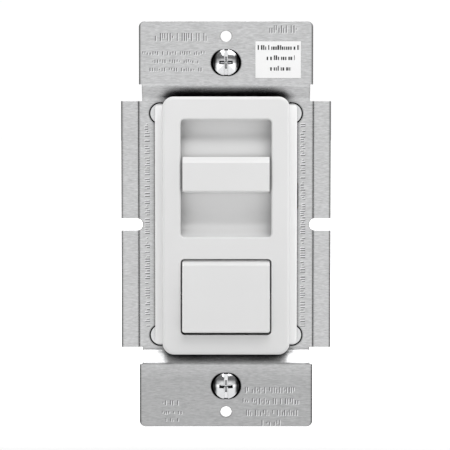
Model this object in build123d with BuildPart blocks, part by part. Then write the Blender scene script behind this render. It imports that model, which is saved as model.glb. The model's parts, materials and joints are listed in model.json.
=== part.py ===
from build123d import *
import os

# Slide dimmer with an on/off rocker, for a single-gang wall box. Millimetres.
# X is to the right, Z up and the face looks along -Y. A "level" below is a distance in front of
# the wall, which is the rear plane of the two ears. The origin lies in that plane, midway
# between the two box screws.

# ---- levels, front to back ----
FACE = 7.2  # bezel face
FACE_T = 1.6
FLANGE = 0.5  # front of the frame's flange
EAR = 1.5  # front of the ears, which is also the sheet's thickness
PLATE = -1.1  # front of the recessed middle of the strap
PLATE_BACK = PLATE - EAR
BOARD = -11.5  # front of the circuit board
BOARD_T = 1.6
BOARD_BACK = BOARD - BOARD_T
HOUSING_BACK = -30.0

# ---- strap ----
STRAP_H, EAR_W, NECK_W, FIN_W, FIN_H = 104.4, 44.6, 43.2, 54.1, 63.7
EAR_BOTTOM = 36.1
JOG_OUT, JOG_IN, BEND_R = 35.7, 32.5, 1.7
SCREW_Z = 41.65  # half of the 83.3 mm box screw spacing
PLATE_HOLE_Z, PLATE_HOLE_R = 48.42, 1.42  # half of 96.84 mm, tapping size of a 6-32 screw
SCREW_SLOT, SCREW_SINK = (5.5, 4.5), (7.9, 6.9)  # screw holes, behind and at the front
SCORE_X, SCORE_W, SCORE_D = 22.5, 0.25, 0.2
NOTCH_W, NOTCH_X = 3.2, 21.5
RIVET_X, RIVET_Z = 17.0, 28.7
RIVET_HEAD_R, RIVET_SEAT_R, RIVET_SEAT_D, RIVET_R = 2.5, 2.85, 0.7, 1.5

SNAP_X, SNAP_ZS, SNAP_H = 17.4, (7.4, -18.0), 5.6  # the frame's snap legs through the strap
TRIAC_X, TRIAC_Z, TRIAC_HOLE_R = -10.5, 17.6, 1.6  # its rivet through the strap

# ---- bezel and frame ----
BEZEL_W, BEZEL_H, BEZEL_R, BEZEL_WALL = 32.4, 65.8, 2.9, 1.3
FLANGE_W, FLANGE_H = 36.6, 61.6
WINDOW_W, WINDOW_TOP, WINDOW_BOTTOM = 23.1, 27.1, -2.8
WELL_TOP, WELL_BOTTOM = 22.0, 3.2  # where the well's end scoops flow into its floor
WELL_EDGE, WELL_CROWN = 2.6, 4.85  # floor level at the scoops and at the middle
SCOOP_DEEP, SCOOP_PULL = 3.4, 2.6  # shape of the scoops' curves
WELL_W, WELL_BACK = 24.7, 1.1
RIM = 0.3  # chamfer round the slider's window
TONGUE_ROOF = 6.2  # underside of the face where the knob's tongues run
ROCKER_W, ROCKER_H, ROCKER_Z = 23.1, 19.4, -18.1

# ---- slider ----
KNOB_W, KNOB_CREST, KNOB_BACK, TONGUE_FRONT = 22.1, 7.8, 5.05, 5.95
KNOB_Z = 12.6
SLIDE = 8.0  # travel each way from rest
LEG_X, LEG_T, LEG_H = 12.95, 1.2, 8.0
CARRIAGE_FRONT, CARRIAGE_BACK = 0.85, -0.3

# ---- rocker ----
PIVOT = 4.7  # level of the paddle's pins
PIN_R, PIN_PLAY = 0.8, 0.05
TILT = 5.0  # paddle angle each side of the middle
PADDLE_W, PADDLE_H, PADDLE_FACE = 22.3, 18.6, 8.35
STEM_R, STEM_BORE_R, STEM_END = 3.0, 1.7, -3.0
ARM_PIVOT, ARM_RATIO = -7.9, 1.2

os.makedirs("parts", exist_ok=True)


def at(level):
    """The plane parallel to the face at a level: X to the right, Y up, normal to the front."""
    return Plane.XZ.offset(level)


SIDE = Plane(origin=(0, 0, 0), x_dir=(0, -1, 0), z_dir=(-1, 0, 0))  # X is the level, Y is up
FOUR_RIVETS = GridLocations(2 * RIVET_X, 2 * RIVET_Z, 2, 2)


def snaps(x):
    """The four places of the snap legs, at a distance x from the middle."""
    return [(side * x, z) for side in (1, -1) for z in SNAP_ZS]


def save(part, name):
    part.part.label = name
    export_step(part.part, f"parts/{name}.step")


# ================= strap, housing and fasteners =================

# The strap is one bent sheet: ears forward, middle set back, break-off fins at both sides.
with BuildPart() as mounting_strap:
    with BuildSketch(SIDE):
        with BuildLine():
            FilletPolyline(
                (EAR, STRAP_H / 2),
                (EAR, JOG_OUT),
                (PLATE, JOG_IN),
                (PLATE, -JOG_IN),
                (EAR, -JOG_OUT),
                (EAR, -STRAP_H / 2),
                radius=BEND_R,
            )
            offset(amount=EAR, side=Side.RIGHT)
        make_face()
    extrude(amount=FIN_W / 2, both=True)
    with BuildSketch(at(-10)):
        Rectangle(EAR_W, STRAP_H)
        fillet(vertices(), radius=1.5)
        Rectangle(FIN_W + 2, 2 * EAR_BOTTOM, mode=Mode.SUBTRACT)
        Rectangle(NECK_W, 2 * EAR_BOTTOM)
        Rectangle(FIN_W, FIN_H)
        with Locations((FIN_W / 2, 0), (-FIN_W / 2, 0)):
            SlotOverall(FIN_W - 2 * NOTCH_X, NOTCH_W, mode=Mode.SUBTRACT)
        with Locations((0, PLATE_HOLE_Z), (0, -PLATE_HOLE_Z)):
            Circle(PLATE_HOLE_R, mode=Mode.SUBTRACT)
        with Locations((0, SCREW_Z), (0, -SCREW_Z)):
            SlotOverall(*SCREW_SLOT, mode=Mode.SUBTRACT)
        with FOUR_RIVETS:
            Circle(RIVET_R + 0.05, mode=Mode.SUBTRACT)
        with Locations((0, KNOB_Z)):
            RectangleRounded(8, 2 * SLIDE + 7.2, 1, mode=Mode.SUBTRACT)
        with Locations((0, ROCKER_Z)):
            RectangleRounded(10, 12, 1, mode=Mode.SUBTRACT)
        with Locations((TRIAC_X, TRIAC_Z)):
            Circle(TRIAC_HOLE_R, mode=Mode.SUBTRACT)
        with Locations(*snaps(SNAP_X)):
            Rectangle(1.6, SNAP_H + 0.8, mode=Mode.SUBTRACT)
        with Locations((SNAP_X + 0.25, SNAP_ZS[0])):
            Rectangle(1.8, SNAP_H + 0.8, mode=Mode.SUBTRACT)
    extrude(amount=20, mode=Mode.INTERSECT)
    for z in (SCREW_Z, -SCREW_Z):
        with BuildSketch(at(EAR)):
            with Locations((0, z)):
                SlotOverall(*SCREW_SINK)
        with BuildSketch(at(EAR - 1.2)):
            with Locations((0, z)):
                SlotOverall(*SCREW_SLOT)
        loft(mode=Mode.SUBTRACT)
    with BuildSketch(at(PLATE)):
        with FOUR_RIVETS:
            Circle(RIVET_SEAT_R)
    extrude(amount=-RIVET_SEAT_D, mode=Mode.SUBTRACT)
    with BuildSketch(at(PLATE)):
        with Locations((SCORE_X, 0), (-SCORE_X, 0)):
            Rectangle(SCORE_W, FIN_H)
    extrude(amount=-SCORE_D, mode=Mode.SUBTRACT)
save(mounting_strap, "mounting_strap")

# The housing is a cup behind the strap, with a rivet column in each corner.
HOUSING_W, HOUSING_H, HOUSING_WALL = 43.0, 63.6, 1.8
LEAD_R, LEAD_Z = 2.1, 24
with BuildPart() as rear_housing:
    with BuildSketch(at(PLATE_BACK)):
        RectangleRounded(HOUSING_W, HOUSING_H, 2.5)
    extrude(amount=HOUSING_BACK - PLATE_BACK)
    fillet(faces().sort_by(Axis.Y)[-1].edges(), radius=1.2)
    with BuildSketch(at(PLATE_BACK)):
        RectangleRounded(HOUSING_W - 2 * HOUSING_WALL, HOUSING_H - 2 * HOUSING_WALL, 1.2)
    extrude(amount=HOUSING_BACK + HOUSING_WALL - PLATE_BACK, mode=Mode.SUBTRACT)
    with BuildSketch(at(PLATE_BACK)):
        with FOUR_RIVETS:
            Circle(3.0)
    extrude(amount=HOUSING_BACK + 0.5 - PLATE_BACK)
    with BuildSketch(at(BOARD_BACK)):
        with GridLocations(HOUSING_W - 2 * HOUSING_WALL - 1.6, 20, 2, 2):
            Rectangle(1.8, 3)
    extrude(amount=HOUSING_BACK + 0.5 - BOARD_BACK)
    with BuildSketch(at(HOUSING_BACK)):
        with Locations((0, -6)):
            RectangleRounded(26, 34, 2)
    extrude(amount=-0.6)
    with BuildSketch(at(PLATE_BACK)):
        with FOUR_RIVETS:
            Circle(RIVET_R + 0.05)
        with Locations((-9, LEAD_Z), (0, LEAD_Z), (9, LEAD_Z)):
            Circle(LEAD_R)
    extrude(amount=HOUSING_BACK - 2 - PLATE_BACK, mode=Mode.SUBTRACT)
save(rear_housing, "rear_housing")

with BuildPart() as housing_rivets:
    with BuildSketch(at(PLATE - RIVET_SEAT_D)):
        with FOUR_RIVETS:
            Circle(RIVET_HEAD_R)
    extrude(amount=RIVET_SEAT_D - 0.05)
    with BuildSketch(at(PLATE - RIVET_SEAT_D)):
        with FOUR_RIVETS:
            Circle(RIVET_R)
    extrude(amount=HOUSING_BACK - PLATE + RIVET_SEAT_D)
    with BuildSketch(at(HOUSING_BACK)):
        with FOUR_RIVETS:
            Circle(2.6)
    extrude(amount=-0.9)
    fillet(faces().sort_by(Axis.Y)[-4:].edges(), radius=0.6)
save(housing_rivets, "housing_rivets")

# Oval-head box screws with a combined slot and cross recess, held by a washer on a thin neck.
SCREW_R, SCREW_NECK_R, SCREW_NECK_END, SCREW_END = 1.75, 1.4, -1.15, -20.0
SCREW_HEAD_R, SCREW_RIM, SCREW_CROWN = 3.32, 1.85, 2.75
with BuildPart() as box_screws:
    with BuildSketch(Plane.XY.offset(SCREW_Z)):
        with BuildLine():
            ThreePointArc((0, -SCREW_CROWN), (1.75, -SCREW_CROWN + 0.22), (SCREW_HEAD_R, -SCREW_RIM))
            Polyline(
                (SCREW_HEAD_R, -SCREW_RIM),
                (SCREW_NECK_R, -0.05),
                (SCREW_NECK_R, -SCREW_NECK_END),
                (SCREW_R, -SCREW_NECK_END),
                (SCREW_R, -SCREW_END - 1),
                (1.0, -SCREW_END),
                (0, -SCREW_END),
                (0, -SCREW_CROWN),
            )
        make_face()
    revolve(axis=Axis((0, 0, SCREW_Z), (0, 1, 0)))
    with BuildSketch(at(SCREW_CROWN + 0.1)):
        with Locations((0, SCREW_Z)):
            Rectangle(1.0, 7)
    extrude(amount=-1.2, mode=Mode.SUBTRACT)
    with BuildSketch(at(SCREW_CROWN + 0.1)):
        with Locations((0, SCREW_Z)):
            Rectangle(3.6, 1.0)
            Rectangle(1.0, 3.6)
    extrude(amount=-2.2, taper=12, mode=Mode.SUBTRACT)
    mirror(about=Plane.XY)
save(box_screws, "box_screws")

with BuildPart() as screw_retainers:
    with BuildSketch(at(0)):
        with Locations((0, SCREW_Z), (0, -SCREW_Z)):
            RectangleRounded(10, 8.5, 0.8)
            Circle(SCREW_NECK_R + 0.02, mode=Mode.SUBTRACT)
    extrude(amount=-0.9)
save(screw_retainers, "screw_retainers")

with BuildPart() as rating_label:
    with BuildSketch(at(EAR)):
        with Locations((13.35, 42.4)):
            RectangleRounded(11.7, 9.4, 0.2)
    extrude(amount=0.12)
save(rating_label, "rating_label")

# ================= frame and bezel =================

with BuildPart() as front_frame:
    with BuildSketch(at(PLATE)):
        RectangleRounded(FLANGE_W, FLANGE_H, 0.8)
    extrude(amount=FLANGE - PLATE)
    fillet(faces().sort_by(Axis.Y)[0].edges(), radius=0.35)
    with BuildSketch(at(PLATE)):
        with Locations((-8, 0), (8, 0)):
            Rectangle(6, BEZEL_H - 2 * BEZEL_WALL - 0.2)
    extrude(amount=FLANGE + 3 - PLATE)
    with BuildSketch(at(FLANGE)):
        Rectangle(FLANGE_W, BEZEL_H - 2 * BEZEL_WALL - 2.6)
    extrude(amount=4, mode=Mode.SUBTRACT)
    with BuildSketch(at(FLANGE)):
        with Locations((12.8, ROCKER_Z), (-12.8, ROCKER_Z)):
            Rectangle(1.8, 5)
    extrude(amount=PIVOT + 0.65 - FLANGE)
    with BuildSketch(at(PLATE)):
        with Locations((0, KNOB_Z)):
            RectangleRounded(29.2, 2 * SLIDE + LEG_H + 1, 0.8)
        with Locations((0, ROCKER_Z)):
            RectangleRounded(21, 17.6, 0.8)
    extrude(amount=FLANGE - PLATE, mode=Mode.SUBTRACT)
    # open cradles for the paddle's pins, closed in front by the bezel
    with BuildSketch(SIDE):
        with Locations((PIVOT, ROCKER_Z)):
            Circle(PIN_R + PIN_PLAY)
        with Locations((PIVOT + 1, ROCKER_Z)):
            Rectangle(2, 2 * (PIN_R + PIN_PLAY))
    extrude(amount=FLANGE_W / 2, both=True, mode=Mode.SUBTRACT)
    # snap legs through the strap, with outward hooks
    with BuildSketch(at(PLATE)):
        with Locations(*snaps(SNAP_X)):
            Rectangle(1.0, SNAP_H)
    extrude(amount=-3.0)
    with BuildSketch(at(PLATE_BACK - 0.1)):
        with Locations(*snaps(SNAP_X + 0.4)):
            Rectangle(1.8, SNAP_H)
    extrude(amount=-1.2)
save(front_frame, "front_frame")


def well_surface():
    """The well's front in side view: a scoop at each end, flowing into a crowned floor."""
    middle = (WELL_CROWN, (WELL_TOP + WELL_BOTTOM) / 2)
    floor = ThreePointArc((WELL_EDGE, WELL_TOP), middle, (WELL_EDGE, WELL_BOTTOM))
    upper_pull = floor @ 0 - SCOOP_PULL * (floor % 0)
    lower_pull = floor @ 1 + SCOOP_PULL * (floor % 1)
    Bezier((FACE, WINDOW_TOP), (SCOOP_DEEP, WINDOW_TOP), upper_pull, floor @ 0)
    Bezier(floor @ 1, lower_pull, (SCOOP_DEEP, WINDOW_BOTTOM), (FACE, WINDOW_BOTTOM))


# The open space of the slider's window, in front of the well.
with BuildPart() as window_space:
    with BuildSketch(SIDE):
        with BuildLine():
            well_surface()
            Polyline(
                (FACE, WINDOW_BOTTOM),
                (FACE + 1, WINDOW_BOTTOM),
                (FACE + 1, WINDOW_TOP),
                (FACE, WINDOW_TOP),
            )
        make_face()
    extrude(amount=WINDOW_W / 2, both=True)
    with BuildSketch(at(0)):
        with Locations((0, (WINDOW_TOP + WINDOW_BOTTOM) / 2)):
            RectangleRounded(WINDOW_W, WINDOW_TOP - WINDOW_BOTTOM, 1.0)
    extrude(amount=FACE + 1, mode=Mode.INTERSECT)

# The bezel is a shell whose face has two windows, and it carries the slider's well.
with BuildPart() as face_bezel:
    with BuildSketch(at(FLANGE)):
        RectangleRounded(BEZEL_W, BEZEL_H, BEZEL_R)
    extrude(amount=FACE - FLANGE)
    fillet(faces().sort_by(Axis.Y)[0].edges(), radius=0.9)
    with BuildSketch(at(FLANGE)):
        RectangleRounded(BEZEL_W - 2 * BEZEL_WALL, BEZEL_H - 2 * BEZEL_WALL, BEZEL_R - BEZEL_WALL)
    extrude(amount=FACE - FACE_T - FLANGE, mode=Mode.SUBTRACT)
    with BuildSketch(SIDE):
        with BuildLine():
            well_surface()
            Polyline(
                (FACE, WINDOW_BOTTOM),
                (FACE - 0.4, WINDOW_BOTTOM - 1.2),
                (3.4, WINDOW_BOTTOM - 1.2),
                (WELL_BACK, WELL_BOTTOM - 3.5),
                (WELL_BACK, WELL_TOP + 3.5),
                (3.4, WINDOW_TOP + 1.2),
                (FACE - 0.4, WINDOW_TOP + 1.2),
                (FACE, WINDOW_TOP),
            )
        make_face()
    extrude(amount=WELL_W / 2, both=True)
    with BuildSketch(at(FACE - FACE_T)):
        with Locations((0, KNOB_Z)):
            Rectangle(BEZEL_W - 2 * BEZEL_WALL, 2 * SLIDE + LEG_H + 1)
    extrude(amount=TONGUE_ROOF - FACE + FACE_T, mode=Mode.SUBTRACT)
    add(window_space.part, mode=Mode.SUBTRACT)
    with BuildSketch(at(FACE)):
        with Locations((0, (WINDOW_TOP + WINDOW_BOTTOM) / 2)):
            RectangleRounded(
                WINDOW_W + 2 * RIM, WINDOW_TOP - WINDOW_BOTTOM + 2 * RIM, 1.0 + RIM
            )
    extrude(amount=-RIM, taper=45, mode=Mode.SUBTRACT)
    with BuildSketch(at(FACE)):
        with Locations((0, ROCKER_Z)):
            RectangleRounded(ROCKER_W, ROCKER_H, 1.0)
    extrude(amount=-FACE_T, mode=Mode.SUBTRACT)
    with BuildSketch(at(FACE - FACE_T)):
        for z in (ROCKER_Z + ROCKER_H / 2 + 0.5, ROCKER_Z - ROCKER_H / 2 - 0.5):
            with Locations((0, z)):
                Rectangle(ROCKER_W, 1.0)
    extrude(amount=-2.6)
save(face_bezel, "face_bezel")

# ================= slider =================

# The knob rides over the well's floor. Its tongues run under the face, and its legs go round
# the well and clip on the carriage.
with BuildPart() as slider_knob:
    with BuildSketch(SIDE):
        with BuildLine():
            Polyline(
                (KNOB_BACK, KNOB_Z - 4.3),
                (KNOB_BACK, KNOB_Z + 5.0),
                (KNOB_CREST - 1.2, KNOB_Z + 5.0),
                (KNOB_CREST, KNOB_Z + 3.5),
                (KNOB_CREST, KNOB_Z - 3.7),
                close=True,
            )
        make_face()
    extrude(amount=KNOB_W / 2, both=True)
    fillet(edges().filter_by(Axis.X).group_by(Axis.Y)[0], radius=0.3)
    with BuildSketch(at(KNOB_BACK)):
        with Locations((0, KNOB_Z)):
            Rectangle(2 * (LEG_X + LEG_T), LEG_H)
    extrude(amount=TONGUE_FRONT - KNOB_BACK)
    for sign in (1, -1):
        with BuildSketch(at(TONGUE_FRONT)):
            with Locations((sign * (LEG_X + LEG_T / 2), KNOB_Z)):
                Rectangle(LEG_T, LEG_H)
        extrude(amount=CARRIAGE_BACK - 0.7 - TONGUE_FRONT)
        with BuildSketch(at(CARRIAGE_BACK - 0.05)):
            with Locations((sign * (LEG_X - 0.2), KNOB_Z)):
                Rectangle(0.4, LEG_H)
        extrude(amount=-0.65)
save(slider_knob, "slider_knob")

with BuildPart() as slider_carriage:
    with BuildSketch(at(CARRIAGE_BACK)):
        with Locations((0, KNOB_Z)):
            Rectangle(2 * LEG_X - 0.05, LEG_H)
    extrude(amount=CARRIAGE_FRONT - CARRIAGE_BACK)
    with BuildSketch(at(CARRIAGE_BACK)):
        with Locations((0, KNOB_Z)):
            RectangleRounded(6, 6.4, 0.6)
    extrude(amount=-2.1)
    with BuildSketch(at(-2.4)):
        with Locations((0, KNOB_Z)):
            Rectangle(2.1, 4.1)
    extrude(amount=1.9, mode=Mode.SUBTRACT)
    with BuildSketch(at(CARRIAGE_FRONT)):
        with Locations((8.5, KNOB_Z), (-8.5, KNOB_Z)):
            RectangleRounded(5, 5, 0.6)
    extrude(amount=-0.6, mode=Mode.SUBTRACT)
save(slider_carriage, "slider_carriage")

# Slide potentiometer: pressed steel case, track board, two carbon tracks, lever and wiper.
POT_FRONT, POT_BACK, POT_W, POT_H = -3.4, -9.6, 9.0, 32.0
TRACK_FRONT = -8.6
with BuildPart() as pot_case:
    with BuildSketch(at(POT_BACK)):
        with Locations((0, KNOB_Z)):
            RectangleRounded(POT_W, POT_H, 0.8)
    extrude(amount=POT_FRONT - POT_BACK)
    with BuildSketch(at(POT_BACK)):
        with Locations((0, KNOB_Z)):
            Rectangle(POT_W - 1, POT_H - 1)
    extrude(amount=POT_FRONT - 0.5 - POT_BACK, mode=Mode.SUBTRACT)
    with BuildSketch(at(POT_FRONT)):
        with Locations((0, KNOB_Z)):
            RectangleRounded(2.6, 2 * SLIDE + 4.8, 0.6)
    extrude(amount=-0.5, mode=Mode.SUBTRACT)
    with BuildSketch(at(POT_BACK)):
        with Locations((0, KNOB_Z)):
            with GridLocations(POT_W - 0.5, POT_H - 8, 2, 2):
                Rectangle(0.5, 2)
    extrude(amount=BOARD - POT_BACK)
save(pot_case, "pot_case")

with BuildPart() as pot_track_board:
    with BuildSketch(at(POT_BACK)):
        with Locations((0, KNOB_Z)):
            Rectangle(POT_W - 1.1, POT_H - 1.1)
    extrude(amount=TRACK_FRONT - POT_BACK)
    with BuildSketch(at(POT_BACK)):
        with Locations((-2, KNOB_Z - 13), (2, KNOB_Z - 13), (0, KNOB_Z + 13)):
            Rectangle(0.8, 0.8)
    extrude(amount=BOARD - POT_BACK)
save(pot_track_board, "pot_track_board")

with BuildPart() as pot_tracks:
    with BuildSketch(at(TRACK_FRONT)):
        with Locations((-1.5, KNOB_Z), (1.5, KNOB_Z)):
            Rectangle(1.6, 2 * SLIDE + 8)
    extrude(amount=0.1)
save(pot_tracks, "pot_tracks")

with BuildPart() as pot_lever:
    with BuildSketch(at(-0.55)):
        with Locations((0, KNOB_Z)):
            Rectangle(2, 4)
    extrude(amount=-5.5)
    with BuildSketch(at(-6.9)):
        with Locations((0, KNOB_Z)):
            Rectangle(6.4, 8)
    extrude(amount=1.7)
save(pot_lever, "pot_lever")

with BuildPart() as pot_wiper:
    with BuildSketch(at(-6.9)):
        with Locations((0, KNOB_Z)):
            Rectangle(4.6, 6)
    extrude(amount=-0.2)
    with BuildSketch(SIDE):
        with BuildLine():
            FilletPolyline(
                (-7.0, KNOB_Z - 2.9), (-8.35, KNOB_Z - 0.2), (-7.9, KNOB_Z + 1.0), radius=0.4
            )
            offset(amount=0.1, side=Side.BOTH)
        make_face()
    extrude(amount=2.3, both=True)
    with BuildSketch(at(-10)):
        with Locations((0, KNOB_Z)):
            Rectangle(1.4, 8)
    extrude(amount=2.8, mode=Mode.SUBTRACT)
save(pot_wiper, "pot_wiper")

# ================= rocker switch =================

# The paddle and its plunger are drawn level on a plane through the pins that leans with them.
paddle_front = Plane(origin=(0, -PIVOT, ROCKER_Z), x_dir=(1, 0, 0), z_dir=(0, -1, 0)).rotated(
    (-TILT, 0, 0)
)
paddle_side = Plane(origin=paddle_front.origin, x_dir=paddle_front.z_dir, z_dir=(-1, 0, 0))
FACE_RISE = PADDLE_FACE - PIVOT
STEM_DROP = PIVOT - STEM_END
with BuildPart() as rocker_paddle:
    with BuildSketch(paddle_side):
        Polygon(
            (-0.8, PADDLE_H / 2 - 0.3),
            (FACE_RISE - 1.1, PADDLE_H / 2),
            (FACE_RISE, PADDLE_H / 2 - 1.5),
            (FACE_RISE, -PADDLE_H / 2),
            (-0.8, -PADDLE_H / 2 + 0.3),
            align=None,
        )
    extrude(amount=PADDLE_W / 2, both=True)
    with BuildSketch(paddle_front.offset(-1)):
        RectangleRounded(PADDLE_W, PADDLE_H, 0.7)
    extrude(amount=FACE_RISE + 2, mode=Mode.INTERSECT)
    fillet(edges().filter_by(GeomType.LINE).group_by(Axis.Y)[0], radius=0.4)
    with BuildSketch(paddle_front.offset(-0.8)):
        Rectangle(PADDLE_W - 2.6, PADDLE_H - 3)
    extrude(amount=FACE_RISE - 0.7, mode=Mode.SUBTRACT)
    with BuildSketch(paddle_front.offset(-STEM_DROP)):
        Circle(STEM_R)
    extrude(amount=STEM_DROP + FACE_RISE - 1)
    with BuildSketch(paddle_front.offset(-STEM_DROP)):
        Circle(STEM_BORE_R)
    extrude(amount=STEM_DROP + FACE_RISE - 2, mode=Mode.SUBTRACT)
    with BuildSketch(paddle_side):
        Circle(PIN_R)
    extrude(amount=13.4, both=True)
    with BuildSketch(paddle_side):
        Circle(STEM_R - 0.4)
    extrude(amount=STEM_BORE_R, both=True, mode=Mode.SUBTRACT)
save(rocker_paddle, "rocker_paddle")

PLUNGER_TIP = PIVOT + 7.3
with BuildPart() as rocker_plunger:
    with BuildSketch(paddle_front.offset(-PLUNGER_TIP)):
        Circle(1.4)
    extrude(amount=6)
    fillet(edges().group_by(Axis.Y)[-1], radius=1.2)
save(rocker_plunger, "rocker_plunger")

SPRING_R, SPRING_WIRE, SPRING_TURNS = 1.25, 0.35, 5
spring_base = paddle_front.offset(6.25 - PLUNGER_TIP)
spring_length = PLUNGER_TIP - 6.25 + FACE_RISE - 2.3
with BuildPart() as plunger_spring:
    with BuildLine():
        coil = Helix(
            spring_length / SPRING_TURNS,
            spring_length,
            SPRING_R,
            center=spring_base.origin,
            direction=spring_base.z_dir,
        )
    with BuildSketch(Plane(origin=coil @ 0, z_dir=coil % 0)):
        Circle(SPRING_WIRE / 2)
    sweep(path=coil, is_frenet=True)
save(plunger_spring, "plunger_spring")

arm_front = Plane(origin=(0, -ARM_PIVOT, ROCKER_Z), x_dir=(1, 0, 0), z_dir=(0, -1, 0)).rotated(
    (TILT * ARM_RATIO, 0, 0)
)
CONTACT_Z = 6.4
with BuildPart() as contact_arm:
    with BuildSketch(arm_front.offset(-0.4)):
        RectangleRounded(5.6, 15.6, 1.0)
    extrude(amount=0.8)
    with BuildSketch(Plane(origin=arm_front.origin, x_dir=arm_front.z_dir, z_dir=(-1, 0, 0))):
        Circle(0.6)
    extrude(amount=4.3, both=True)
save(contact_arm, "contact_arm")

with BuildPart() as moving_contact:
    with BuildSketch(arm_front.offset(-0.4)):
        with Locations((0, -CONTACT_Z)):
            Circle(1.5)
    extrude(amount=-0.7)
    fillet(edges().group_by(Axis.Y)[-1], radius=0.2)
save(moving_contact, "moving_contact")

with BuildPart() as pivot_terminal:
    with BuildSketch(at(BOARD)):
        with Locations((0, ROCKER_Z)):
            Rectangle(8.2, 5)
    extrude(amount=4.3)
    with BuildSketch(at(BOARD + 0.6)):
        with Locations((0, ROCKER_Z)):
            Rectangle(6.6, 5)
    extrude(amount=4, mode=Mode.SUBTRACT)
    with BuildSketch(SIDE):
        with Locations((ARM_PIVOT, ROCKER_Z)):
            Circle(0.66)
    extrude(amount=5, both=True, mode=Mode.SUBTRACT)
save(pivot_terminal, "pivot_terminal")

FIXED_FRONT = -9.95
with BuildPart() as fixed_contact:
    with BuildSketch(at(FIXED_FRONT - 0.5)):
        with Locations((0, ROCKER_Z - CONTACT_Z)):
            Circle(1.5)
    extrude(amount=0.5)
save(fixed_contact, "fixed_contact")

with BuildPart() as contact_terminal:
    with BuildSketch(SIDE):
        Polygon(
            (BOARD, ROCKER_Z - 9.6),
            (BOARD, ROCKER_Z - 8.0),
            (FIXED_FRONT - 1.1, ROCKER_Z - 8.0),
            (FIXED_FRONT - 1.1, ROCKER_Z - 4.6),
            (FIXED_FRONT - 0.5, ROCKER_Z - 4.6),
            (FIXED_FRONT - 0.5, ROCKER_Z - 9.6),
            align=None,
        )
    extrude(amount=2.2, both=True)
save(contact_terminal, "contact_terminal")

# ================= circuit =================

with BuildPart() as circuit_board:
    with BuildSketch(at(BOARD_BACK)):
        Rectangle(38.4, 58.6)
        with FOUR_RIVETS:
            Circle(3.3, mode=Mode.SUBTRACT)
        with FOUR_RIVETS:
            Rectangle(6.0, 6.0, mode=Mode.SUBTRACT)
    extrude(amount=BOARD_T)
save(circuit_board, "circuit_board")

# The power device lies flat behind the strap, which is its heat sink.
TAB_FRONT = PLATE_BACK - 0.3
TAB_T, TAB_H, LEAD_PITCH = 1.3, 15.4, 2.54
TAB_BOTTOM = TRIAC_Z - 12.7
with BuildPart() as triac_insulator:
    with BuildSketch(at(PLATE_BACK)):
        with Locations((TRIAC_X, TAB_BOTTOM + TAB_H / 2)):
            Rectangle(11.2, TAB_H + 2)
        with Locations((TRIAC_X, TRIAC_Z)):
            Circle(TRIAC_HOLE_R, mode=Mode.SUBTRACT)
    extrude(amount=TAB_FRONT - PLATE_BACK)
save(triac_insulator, "triac_insulator")

with BuildPart() as triac_tab:
    with BuildSketch(at(TAB_FRONT)):
        with Locations((TRIAC_X, TAB_BOTTOM + TAB_H / 2)):
            Rectangle(10, TAB_H)
        with Locations((TRIAC_X, TRIAC_Z)):
            Circle(TRIAC_HOLE_R, mode=Mode.SUBTRACT)
    extrude(amount=-TAB_T)
save(triac_tab, "triac_tab")

with BuildPart() as triac_body:
    with BuildSketch(at(TAB_FRONT - TAB_T)):
        with Locations((TRIAC_X, TAB_BOTTOM + 4.6)):
            Rectangle(10, 9.2)
    extrude(amount=-3)
    chamfer(faces().sort_by(Axis.Y)[-1].edges(), length=0.4)
save(triac_body, "triac_body")

with BuildPart() as triac_leads:
    with BuildSketch(at(TAB_FRONT - TAB_T - 1)):
        with Locations((TRIAC_X, TAB_BOTTOM - 2.4)):
            with GridLocations(LEAD_PITCH, 1, 3, 1):
                Rectangle(0.9, 4.8)
    extrude(amount=-0.5)
    with BuildSketch(at(TAB_FRONT - TAB_T - 1)):
        with Locations((TRIAC_X, TAB_BOTTOM - 4.5)):
            with GridLocations(LEAD_PITCH, 1, 3, 1):
                Rectangle(0.9, 0.6)
    extrude(amount=BOARD - TAB_FRONT + TAB_T + 1)
save(triac_leads, "triac_leads")

with BuildPart() as triac_rivet:
    with BuildSketch(at(PLATE - 0.1)):
        with Locations((TRIAC_X, TRIAC_Z)):
            Circle(TRIAC_HOLE_R - 0.05)
    extrude(amount=TAB_FRONT - TAB_T - PLATE + 0.1)
    with BuildSketch(at(TAB_FRONT - TAB_T)):
        with Locations((TRIAC_X, TRIAC_Z)):
            Circle(2.4)
    extrude(amount=-0.8)
save(triac_rivet, "triac_rivet")

CHOKE_X, CHOKE_Z, CHOKE_OUT, CHOKE_IN, CHOKE_T, CHOKE_TURNS = 5.0, 10.0, 10.0, 5.6, 8.0, 24
CHOKE_MID = BOARD_BACK - 0.3 - 0.9 - CHOKE_T / 2
with BuildPart() as choke_core:
    with BuildSketch(at(CHOKE_MID)):
        with Locations((CHOKE_X, CHOKE_Z)):
            Circle(CHOKE_OUT)
            Circle(CHOKE_IN, mode=Mode.SUBTRACT)
    extrude(amount=CHOKE_T / 2, both=True)
    fillet(edges().filter_by(GeomType.CIRCLE), radius=0.8)
save(choke_core, "choke_core")

# Each turn is a flat ring round the core's section.
WIRE = 0.9
choke_centre = Plane(origin=(CHOKE_X, -CHOKE_MID, CHOKE_Z), x_dir=(1, 0, 0), z_dir=(0, -1, 0))
choke_section = Plane(origin=choke_centre.origin, x_dir=(1, 0, 0), z_dir=(0, 0, -1))
with BuildPart() as choke_winding:
    with BuildSketch(choke_section):
        with Locations(((CHOKE_OUT + CHOKE_IN) / 2, 0)):
            RectangleRounded(CHOKE_OUT - CHOKE_IN + 2 * WIRE, CHOKE_T + 2 * WIRE, 1.2)
            RectangleRounded(CHOKE_OUT - CHOKE_IN + 0.04, CHOKE_T + 0.04, 0.6, mode=Mode.SUBTRACT)
    turn = extrude(amount=WIRE / 2, both=True)
    for step in range(1, CHOKE_TURNS):
        add(turn.rotate(Axis(choke_centre.origin, (0, 1, 0)), step * 360 / CHOKE_TURNS))
save(choke_winding, "choke_winding")

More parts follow.
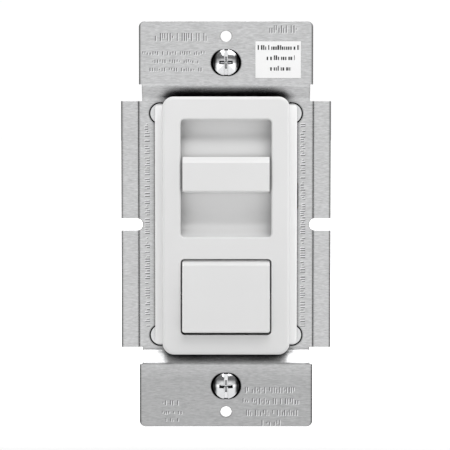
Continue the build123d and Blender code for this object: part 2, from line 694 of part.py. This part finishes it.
with BuildPart() as film_capacitor:
    with BuildSketch(at(BOARD_BACK)):
        with Locations((-6, -13)):
            RectangleRounded(8, 18, 0.6)
    extrude(amount=-13)
    fillet(faces().sort_by(Axis.Y)[-1].edges(), radius=0.5)
save(film_capacitor, "film_capacitor")

with BuildPart() as timing_capacitors:
    with BuildSketch(at(BOARD_BACK)):
        with Locations((10, -8), (10, -15)):
            RectangleRounded(7.2, 3.5, 0.4)
    extrude(amount=-7)
    fillet(faces().sort_by(Axis.Y)[-2:].edges(), radius=0.4)
save(timing_capacitors, "timing_capacitors")

with BuildPart() as resistors:
    for z in (-21.5, -25.5):
        with BuildSketch(Plane.YZ.offset(7)):
            with Locations((-BOARD_BACK + 1.3, z)):
                Circle(1.15)
        extrude(amount=6)
    fillet(edges().filter_by(GeomType.CIRCLE), radius=0.5)
save(resistors, "resistors")

with BuildPart() as diac:
    with BuildSketch(Plane.YZ.offset(1.5)):
        with Locations((-BOARD_BACK + 1.1, -24)):
            Circle(0.95)
    extrude(amount=3.8)
save(diac, "diac")
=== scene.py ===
# Materials, marks, stage and camera for the slide dimmer. Metres.

import json
import math
import random

import bpy
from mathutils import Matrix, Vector


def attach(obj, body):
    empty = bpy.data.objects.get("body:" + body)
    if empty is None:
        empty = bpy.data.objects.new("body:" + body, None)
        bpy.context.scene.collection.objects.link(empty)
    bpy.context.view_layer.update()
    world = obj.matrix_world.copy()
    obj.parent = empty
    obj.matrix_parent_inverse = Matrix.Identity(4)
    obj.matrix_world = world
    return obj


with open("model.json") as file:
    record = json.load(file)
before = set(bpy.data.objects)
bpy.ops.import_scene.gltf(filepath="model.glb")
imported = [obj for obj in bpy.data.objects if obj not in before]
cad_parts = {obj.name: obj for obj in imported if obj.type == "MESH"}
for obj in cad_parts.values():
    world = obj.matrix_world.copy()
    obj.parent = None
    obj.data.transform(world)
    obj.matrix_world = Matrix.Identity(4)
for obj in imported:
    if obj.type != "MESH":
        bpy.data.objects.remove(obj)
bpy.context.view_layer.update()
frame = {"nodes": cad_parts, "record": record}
random.seed(7)

MM = 0.001
EAR_FRONT = -0.0015  # y of the front of the ears
PLATE_FRONT = 0.0011  # y of the front of the recessed part of the strap
SCREW_Z, SHANK_Y, THREAD_PITCH = 0.04165, 0.0012, 0.000794
WHITE = (0.62, 0.62, 0.62)


# ---------------------------------------------------------------- materials

def new_material(name, color, rough, metallic=0.0, specular=0.5):
    """A Principled material, with its node tree and its shader node."""
    mat = bpy.data.materials.new(name)
    mat.use_nodes = True
    tree = mat.node_tree
    bsdf = tree.nodes["Principled BSDF"]
    bsdf.inputs["Base Color"].default_value = (*color, 1)
    bsdf.inputs["Roughness"].default_value = rough
    bsdf.inputs["Metallic"].default_value = metallic
    bsdf.inputs["Specular IOR Level"].default_value = specular
    return mat, tree, bsdf


def calc(tree, operation, a, b=None):
    """A math node. a and b are numbers or sockets."""
    node = tree.nodes.new("ShaderNodeMath")
    node.operation = operation
    for socket, value in zip(node.inputs, (a, b)):
        if isinstance(value, (int, float)):
            socket.default_value = value
        elif value is not None:
            tree.links.new(value, socket)
    return node.outputs["Value"]


def fade(tree, value, start, end, low, high, smooth=False):
    """Maps start..end of a socket to low..high, clamped."""
    node = tree.nodes.new("ShaderNodeMapRange")
    if smooth:
        node.interpolation_type = "SMOOTHSTEP"
    for name, number in (("From Min", start), ("From Max", end), ("To Min", low), ("To Max", high)):
        node.inputs[name].default_value = number
    tree.links.new(value, node.inputs["Value"])
    return node.outputs["Result"]


def coords(tree, scale):
    """Object coordinates, in metres, times a scale."""
    tc = tree.nodes.new("ShaderNodeTexCoord")
    mp = tree.nodes.new("ShaderNodeMapping")
    mp.inputs["Scale"].default_value = scale
    tree.links.new(tc.outputs["Object"], mp.inputs["Vector"])
    return mp.outputs["Vector"]


def position(tree):
    """The outputs X, Y and Z of the object coordinates, in metres."""
    sep = tree.nodes.new("ShaderNodeSeparateXYZ")
    tree.links.new(coords(tree, (1, 1, 1)), sep.inputs["Vector"])
    return sep.outputs


def noise(tree, scale, detail=3.0, rough=0.5):
    """Noise between about 0.25 and 0.75."""
    n = tree.nodes.new("ShaderNodeTexNoise")
    n.inputs["Scale"].default_value = 1.0
    n.inputs["Detail"].default_value = detail
    n.inputs["Roughness"].default_value = rough
    tree.links.new(coords(tree, scale), n.inputs["Vector"])
    return n.outputs["Fac"]


def spread_noise(tree, value, low, high):
    """Stretches noise to run from low to high."""
    return fade(tree, value, 0.25, 0.75, low, high)


def tint(tree, bsdf, value, color, lo, hi):
    """Base colour times a factor between lo and hi that follows noise."""
    mix = tree.nodes.new("ShaderNodeMix")
    mix.data_type = "RGBA"
    mix.inputs["A"].default_value = (*[c * lo for c in color], 1)
    mix.inputs["B"].default_value = (*[c * hi for c in color], 1)
    tree.links.new(spread_noise(tree, value, 0, 1), mix.inputs["Factor"])
    tree.links.new(mix.outputs["Result"], bsdf.inputs["Base Color"])


def bump(tree, bsdf, value, distance, strength=1.0, edge=0.0):
    """Bump from value, over edges that look rounded by edge metres."""
    b = tree.nodes.new("ShaderNodeBump")
    if edge:
        rounded = tree.nodes.new("ShaderNodeBevel")
        rounded.samples = 4
        rounded.inputs["Radius"].default_value = edge
        tree.links.new(rounded.outputs["Normal"], b.inputs["Normal"])
    b.inputs["Strength"].default_value = strength
    b.inputs["Distance"].default_value = distance
    tree.links.new(value, b.inputs["Height"])
    tree.links.new(b.outputs["Normal"], bsdf.inputs["Normal"])


def plastic(name, color, rough=0.35, grain=900.0, depth=0.00001, vary=0.015, specular=0.5, edge=0.0):
    """Moulded plastic, paper or paint with a fine grain and a broad change of tone."""
    mat, tree, bsdf = new_material(name, color, rough, specular=specular)
    fine = noise(tree, (grain,) * 3, 4)
    broad = noise(tree, (60, 60, 60), 2)
    tint(tree, bsdf, broad, color, 1 - vary, 1 + vary)
    tree.links.new(spread_noise(tree, fine, rough - 0.04, rough + 0.04), bsdf.inputs["Roughness"])
    bump(tree, bsdf, fine, depth, edge=edge)
    return mat


def multiply_color(tree, bsdf, factor):
    """Multiplies what already feeds the base colour by a factor."""
    mul = tree.nodes.new("ShaderNodeMix")
    mul.data_type = "RGBA"
    mul.blend_type = "MULTIPLY"
    mul.inputs["Factor"].default_value = 1.0
    color = bsdf.inputs["Base Color"].links[0].from_socket
    tree.links.new(color, mul.inputs["A"])
    tree.links.new(factor, mul.inputs["B"])
    tree.links.new(mul.outputs["Result"], bsdf.inputs["Base Color"])


def painted_crevice_shade(tree, bsdf, reach, low, high, darkest):
    """Painted shade: multiplies the base colour by a factor from an ambient-occlusion node that falls to
    darkest where the surface is hemmed in.
    """
    ao = tree.nodes.new("ShaderNodeAmbientOcclusion")
    ao.samples = 8
    ao.inputs["Distance"].default_value = reach
    multiply_color(tree, bsdf, fade(tree, ao.outputs["AO"], low, high, darkest, 1.0))


def painted_side_shade(tree, bsdf, edge, start, end, darkest, front=None):
    """Painted shade: darkens the base colour where the surface, or a rounded edge beside it, faces left or
    right, standing in for dark surroundings seen there.
    With front set it only acts in front of that y."""
    rounded = tree.nodes.new("ShaderNodeBevel")
    rounded.samples = 6
    rounded.inputs["Radius"].default_value = edge
    sep = tree.nodes.new("ShaderNodeSeparateXYZ")
    tree.links.new(rounded.outputs["Normal"], sep.inputs["Vector"])
    level = fade(tree, calc(tree, "ABSOLUTE", sep.outputs["X"]), start, end, 1.0, darkest)
    if front is not None:
        level = calc(tree, "MAXIMUM", level, calc(tree, "GREATER_THAN", position(tree)["Y"], front))
    multiply_color(tree, bsdf, level)


def painted_shade_below(tree, bsdf, start, end, level):
    """Painted shade: a darker tone towards the lower end of the sheet, along Z."""
    multiply_color(tree, bsdf, fade(tree, position(tree)["Z"], end, start, level, 1.0))


def painted_edge_lines(tree, bsdf, fin_x, ear_x, ear_z, width, level):
    """Painted shade: darkens a thin line along the outer edges of the fins, and of the ears beyond ear_z.
    The cut faces themselves, which face left or right, are left bright."""
    place = position(tree)
    on_ear = calc(tree, "GREATER_THAN", calc(tree, "ABSOLUTE", place["Z"]), ear_z)
    edge = calc(tree, "SUBTRACT", fin_x, calc(tree, "MULTIPLY", on_ear, fin_x - ear_x))
    inside = calc(tree, "SUBTRACT", edge, calc(tree, "ABSOLUTE", place["X"]))
    line = fade(tree, inside, 0.0, width, level, 1.0)
    normal = tree.nodes.new("ShaderNodeSeparateXYZ")
    tree.links.new(tree.nodes.new("ShaderNodeNewGeometry").outputs["True Normal"], normal.inputs["Vector"])
    cut_face = calc(tree, "GREATER_THAN", calc(tree, "ABSOLUTE", normal.outputs["X"]), 0.7)
    multiply_color(tree, bsdf, calc(tree, "MAXIMUM", line, cut_face))


def screw_thread(tree, bsdf, centre_z, start_y, pitch):
    """A helical thread, as bumps with painted shade in the roots, on shanks along Y at z = +centre_z and
    -centre_z.
    """
    place = position(tree)
    across = calc(tree, "SUBTRACT", calc(tree, "ABSOLUTE", place["Z"]), centre_z)
    turn = calc(tree, "DIVIDE", calc(tree, "ARCTAN2", place["X"], across), 2 * math.pi)
    phase = calc(tree, "ADD", calc(tree, "DIVIDE", place["Y"], pitch), turn)
    ridge = calc(tree, "MULTIPLY", calc(tree, "PINGPONG", phase, 0.5), 2.0)
    on_shank = calc(tree, "GREATER_THAN", place["Y"], start_y)
    root = calc(tree, "MULTIPLY", calc(tree, "SUBTRACT", 1.0, ridge), on_shank)
    thread = tree.nodes.new("ShaderNodeBump")
    thread.inputs["Distance"].default_value = pitch * 0.6
    tree.links.new(calc(tree, "SUBTRACT", 1.0, root), thread.inputs["Height"])
    tree.links.new(bsdf.inputs["Normal"].links[0].from_socket, thread.inputs["Normal"])
    tree.links.new(thread.outputs["Normal"], bsdf.inputs["Normal"])
    # Painted shade in the thread's roots.
    multiply_color(tree, bsdf, calc(tree, "SUBTRACT", 1.0, calc(tree, "MULTIPLY", root, 0.75)))


def metal(name, color, rough, stretch=(2500, 2500, 2500), depth=0.000004, vary=0.06, spread=0.06,
          detail=3, edge=0.0):
    """Metal with streaks. stretch is the noise's scale along each axis, spread is in roughness."""
    mat, tree, bsdf = new_material(name, color, rough, metallic=1.0)
    streak = noise(tree, stretch, detail, 0.65)
    tint(tree, bsdf, streak, color, 1 - vary, 1 + vary)
    tree.links.new(spread_noise(tree, streak, rough - spread, rough + spread), bsdf.inputs["Roughness"])
    bump(tree, bsdf, streak, depth, edge=edge)
    return mat


MATS = {
    "strap_metal": metal("brushed_aluminium", (0.55, 0.552, 0.556), 0.36, (800, 3000, 4600),
                         0.000012, 0.27, 0.1, 5, 0.0002),
    "rivet_metal": metal("rivet_aluminium", (0.68, 0.685, 0.69), 0.34, (900, 900, 2500)),
    "screw_metal": metal("zinc_plate", (0.74, 0.745, 0.755), 0.16, depth=0.000002, vary=0.03, spread=0.04),
    "retainer": plastic("fibre_washer", (0.03, 0.03, 0.03), 0.7, 2500, 0.00003, 0.2),
    "label_paper": plastic("label_paper", (0.73, 0.73, 0.73), 0.75, 5000, 0.00001, 0.02, 0.2),
    "frame_white": plastic("frame_white", (0.80, 0.80, 0.80), 0.36, edge=0.0002),
    "bezel_white": plastic("bezel_white", WHITE, 0.36, edge=0.0002),
    "knob_white": plastic("knob_white", WHITE, 0.34, edge=0.0002),
    "rocker_white": plastic("rocker_white", WHITE, 0.34, edge=0.0002),
    "carriage_plastic": plastic("carriage_plastic", (0.62, 0.62, 0.60), 0.5),
    "housing_plastic": plastic("housing_black", (0.022, 0.022, 0.024), 0.5, 2200, 0.00006, 0.15),
    "inner_steel": metal("inner_steel", (0.60, 0.60, 0.60), 0.3),
    "inner_black": plastic("inner_black", (0.02, 0.02, 0.02), 0.5, 1500, 0.00004, 0.15),
    "carbon_track": plastic("carbon_track", (0.015, 0.015, 0.015), 0.6, 3000, 0.00002, 0.2),
    "contact_brass": metal("contact_brass", (0.70, 0.48, 0.20), 0.28),
    "contact_silver": metal("contact_silver", (0.80, 0.79, 0.76), 0.25),
    "board_laminate": plastic("board_laminate", (0.36, 0.23, 0.08), 0.45, 1200, 0.00002, 0.12),
    "track_laminate": plastic("track_laminate", (0.28, 0.14, 0.05), 0.5, 1200, 0.00002, 0.12),
    "insulator_film": plastic("insulator_film", (0.55, 0.28, 0.05), 0.3, 800, 0.00001, 0.08),
    "ferrite": plastic("painted_ferrite", (0.45, 0.40, 0.06), 0.4, 1500, 0.00004, 0.1),
    "winding_wire": metal("enamelled_copper", (0.60, 0.20, 0.06), 0.22, vary=0.1),
    "capacitor_case": plastic("capacitor_case", (0.10, 0.17, 0.36), 0.3, 900, 0.00002, 0.08),
    "resistor_body": plastic("resistor_body", (0.52, 0.38, 0.20), 0.4, 1800, 0.00003, 0.1),
    "diac_glass": plastic("diac_glass", (0.50, 0.16, 0.06), 0.15, 500, 0.000005, 0.1),
    "marking_ink": plastic("marking_ink", (0.01, 0.01, 0.01), 0.6, 3000, 0.000005, 0.2),
    # Painted shade and painted highlight for the two sides of each stamped stroke.
    "stamped_shade": metal("stamped_shade", (0.20, 0.20, 0.205), 0.5, vary=0.15),
    "stamped_highlight": metal("stamped_highlight", (0.84, 0.84, 0.845), 0.35, vary=0.05),
}

# Painted shade in gaps, creases and recesses of the strap, rivets, bezel, rocker, knob and frame; the
# bezel's wide second entry shades its whole recess.
for name, reach, low, high, darkest in (
    ("strap_metal", 0.004, 0.46, 0.70, 0.02),
    ("rivet_metal", 0.001, 0.3, 0.6, 0.1),
    ("bezel_white", 0.0012, 0.18, 0.42, 0.05),
    ("bezel_white", 0.012, 0.10, 0.62, 0.70),
    ("rocker_white", 0.0012, 0.18, 0.42, 0.05),
    ("knob_white", 0.0012, 0.18, 0.42, 0.4),
    ("frame_white", 0.0012, 0.15, 0.35, 0.3),
):
    tree = MATS[name].node_tree
    painted_crevice_shade(tree, tree.nodes["Principled BSDF"], reach, low, high, darkest)
# Painted shade on the strap's side-facing edges, and painted dark crescents at the left and right rims of
# the screw heads.
for name, edge, start, end, darkest, front in (
    ("strap_metal", 0.0005, 0.05, 0.25, 0.60, None),
    ("screw_metal", 0.0001, 0.34, 0.43, 0.03, -0.001),
):
    tree = MATS[name].node_tree
    painted_side_shade(tree, tree.nodes["Principled BSDF"], edge, start, end, darkest, front)
screw_thread(tree, tree.nodes["Principled BSDF"], SCREW_Z, SHANK_Y, THREAD_PITCH)
tree = MATS["strap_metal"].node_tree
# Painted shade: the strap's lower ear is drawn about a quarter darker than the upper one.
painted_shade_below(tree, tree.nodes["Principled BSDF"], -0.034, -0.040, 0.76)
# Painted shade: dark outlines along the outer edges of the strap's fins and ears.
painted_edge_lines(tree, tree.nodes["Principled BSDF"], 0.02705, 0.0223, 0.0361, 0.0006, 0.08)

for entry in frame["record"]["subparts"]:
    node = frame["nodes"][entry["node"]]
    node.data.materials.clear()
    node.data.materials.append(MATS[entry["material_slot"]])


# ---------------------------------------------------------------- small pieces

def boxes(name, body, material, cells):
    """One mesh of separate thin blocks. cells are (x0, x1, y0, y1, z0, z1) in millimetres."""
    verts, faces = [], []
    for x0, x1, y0, y1, z0, z1 in cells:
        n = len(verts)
        verts += [(x * MM, y * MM, z * MM) for x in (x0, x1) for y in (y0, y1) for z in (z0, z1)]
        quads = ((0, 1, 3, 2), (4, 6, 7, 5), (0, 4, 5, 1), (2, 3, 7, 6), (0, 2, 6, 4), (1, 5, 7, 3))
        faces += [tuple(n + i for i in q) for q in quads]
    mesh = bpy.data.meshes.new(name)
    mesh.from_pydata(verts, [], faces)
    mesh.update()
    obj = bpy.data.objects.new(name, mesh)
    bpy.context.scene.collection.objects.link(obj)
    mesh.materials.append(MATS[material])
    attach(obj, body)
    return obj


def tick_row(x0, x1, z, height, front):
    """A row of plain upright ticks in groups, which stands for a line of print."""
    cells, x = [], x0
    while x < x1:
        wide = random.uniform(0.26, 0.48)
        high = z + height / 2 - random.choice((0, 0.3, 0.3)) * height
        cells.append((x, min(x + wide, x1), front - 0.012, front + 0.03, z - height / 2, high))
        x += wide + random.choice((0.15, 0.2, 0.2, 0.5))
    return cells


def stamped(x0, x1, z, height, front, upright=False):
    """A row of shallow stamped strokes: each is drawn as a block of painted shade and a block of painted
    highlight beside it.
    """
    dark, light, x = [], [], x0
    while x < x1:
        wide = random.uniform(0.2, 0.3)
        low = z - height / 2 + random.choice((0, 0, 0.35)) * height
        high = z + height / 2 - random.choice((0, 0, 0.35)) * height
        dark.append((x, x + wide, front - 0.006, front + 0.03, low, high))
        light.append((x + wide * 0.7, x + wide + 0.17, front - 0.003, front + 0.03, low - 0.13, high - 0.13))
        x += wide + random.choice((0.3, 0.35, 0.45, 1.0))
    if upright:
        dark, light = ([(c[4], c[5], c[2], c[3], c[0], c[1]) for c in group] for group in (dark, light))
    return dark, light


def stamp_group(name, rows):
    """Two meshes of stamped strokes, one of painted shade for their dark sides and one of painted highlight
    for their bright sides.
    """
    dark = [c for row in rows for c in row[0]]
    light = [c for row in rows for c in row[1]]
    # Dark blocks are painted shade, bright blocks are painted highlight.
    boxes(name + "_shade", "base", "stamped_shade", dark)
    boxes(name + "_edge", "base", "stamped_highlight", light)


ear = EAR_FRONT / MM
plate = PLATE_FRONT / MM
boxes("label_print", "base", "marking_ink",
      tick_row(8.1, 18.8, 45.5, 1.2, ear - 0.12)
      + tick_row(10.4, 17.6, 42.9, 1.2, ear - 0.12)
      + tick_row(11.3, 16.6, 40.2, 1.2, ear - 0.12))
stamp_group("marks_top", [
    stamped(-18.2, -4.6, 48.2, 2.0, ear),
    stamped(-21.4, -5.4, 44.1, 0.9, ear),
    stamped(-18.8, -6.9, 42.0, 0.9, ear),
    stamped(-19.6, -6.3, 39.9, 0.9, ear),
    stamped(11.1, 18.4, 50.2, 1.9, ear)])
stamp_group("marks_bottom", [
    stamped(x0, x1, z, 1.5, ear) for x0, x1, z in (
        (4.9, 17.8, -42.7), (4.3, 18.6, -45.6), (5.2, 18.4, -48.6), (9.2, 14.0, -51.2))]
    + [stamped(-16.4, -11.6, -46.0, 1.2, ear), stamped(-16.6, -11.4, -48.6, 0.8, ear),
       stamped(-15.6, -12.4, -50.4, 0.8, ear)])
stamp_group("marks_sides", [
    stamped(-26.5, 25.8, x, 1.2, plate, upright=True) for x in (-20.3, 19.9)])


# ---------------------------------------------------------------- stage, light and camera

def floor_material():
    """Pale matt floor that turns into a glowing white sweep behind and to both sides."""
    color = (0.66, 0.66, 0.66)
    mat, tree, bsdf = new_material("studio_floor", color, 0.9, specular=0.1)
    tint(tree, bsdf, noise(tree, (3, 3, 3), 2), color, 0.995, 1.005)
    bsdf.inputs["Emission Color"].default_value = (1, 1, 1, 1)
    place = position(tree)
    away = calc(tree, "MAXIMUM", calc(tree, "ABSOLUTE", place["X"]), place["Y"])
    tree.links.new(fade(tree, away, 0.12, 0.23, 0.16, 1.0), bsdf.inputs["Emission Strength"])
    return mat


bpy.ops.mesh.primitive_plane_add(size=30, location=(0, 0, -0.08))
floor = bpy.context.object
floor.name = "floor"
floor.data.materials.append(floor_material())


light = bpy.data.lights.new("softbox_top", "AREA")
light.shape = "RECTANGLE"
light.size, light.size_y = 0.9, 0.5
light.energy = 6.1
softbox = bpy.data.objects.new("softbox_top", light)
softbox.location = (0.14, -0.42, 0.72)
softbox.rotation_mode = "QUATERNION"
softbox.rotation_quaternion = (-softbox.location).to_track_quat("-Z", "Y")
bpy.context.scene.collection.objects.link(softbox)

FRONT_TOP = (0.15, 0.45)
FRONT_LEVEL, SIDE_LEVEL, UPPER_LEVEL, TOP_LEVEL = 1.0, 0.55, 0.15, 1.0


def studio_world():
    """White behind and in a broad patch in front, dark to the front's upper and outer sides."""
    world = bpy.data.worlds.new("studio")
    bpy.context.scene.world = world
    world.use_nodes = True
    tree = world.node_tree
    bg = tree.nodes["Background"]
    tc = tree.nodes.new("ShaderNodeTexCoord")
    sep = tree.nodes.new("ShaderNodeSeparateXYZ")
    tree.links.new(tc.outputs["Generated"], sep.inputs["Vector"])
    low = fade(tree, sep.outputs["Z"], *FRONT_TOP, 1, 0, smooth=True)
    ahead = fade(tree, sep.outputs["Y"], -0.95, -0.75, FRONT_LEVEL, SIDE_LEVEL, smooth=True)
    above = fade(tree, sep.outputs["Z"], 0.75, 0.95, UPPER_LEVEL, TOP_LEVEL, smooth=True)
    behind = fade(tree, sep.outputs["Y"], -0.3, -0.15, 0, 1.02, smooth=True)
    front = calc(tree, "MAXIMUM", calc(tree, "MULTIPLY", low, ahead), above)
    tree.links.new(calc(tree, "MAXIMUM", front, behind), bg.inputs["Color"])
    bg.inputs["Strength"].default_value = 1.0


studio_world()
bpy.context.scene.view_settings.view_transform = "Standard"

cam_data = bpy.data.cameras.new("camera")
cam_data.sensor_width = 36
cam_data.lens = 18 / math.tan(math.radians(13.94 / 2))
cam_data.clip_start, cam_data.clip_end = 0.01, 100
camera = bpy.data.objects.new("camera", cam_data)
camera.location = (-0.26 * MM, -474.4 * MM, 24.9 * MM)
aim = Vector((-0.26 * MM, -1.5 * MM, 0)) - camera.location
camera.rotation_mode = "QUATERNION"
camera.rotation_quaternion = aim.to_track_quat("-Z", "Y")
bpy.context.scene.collection.objects.link(camera)
bpy.context.scene.camera = camera
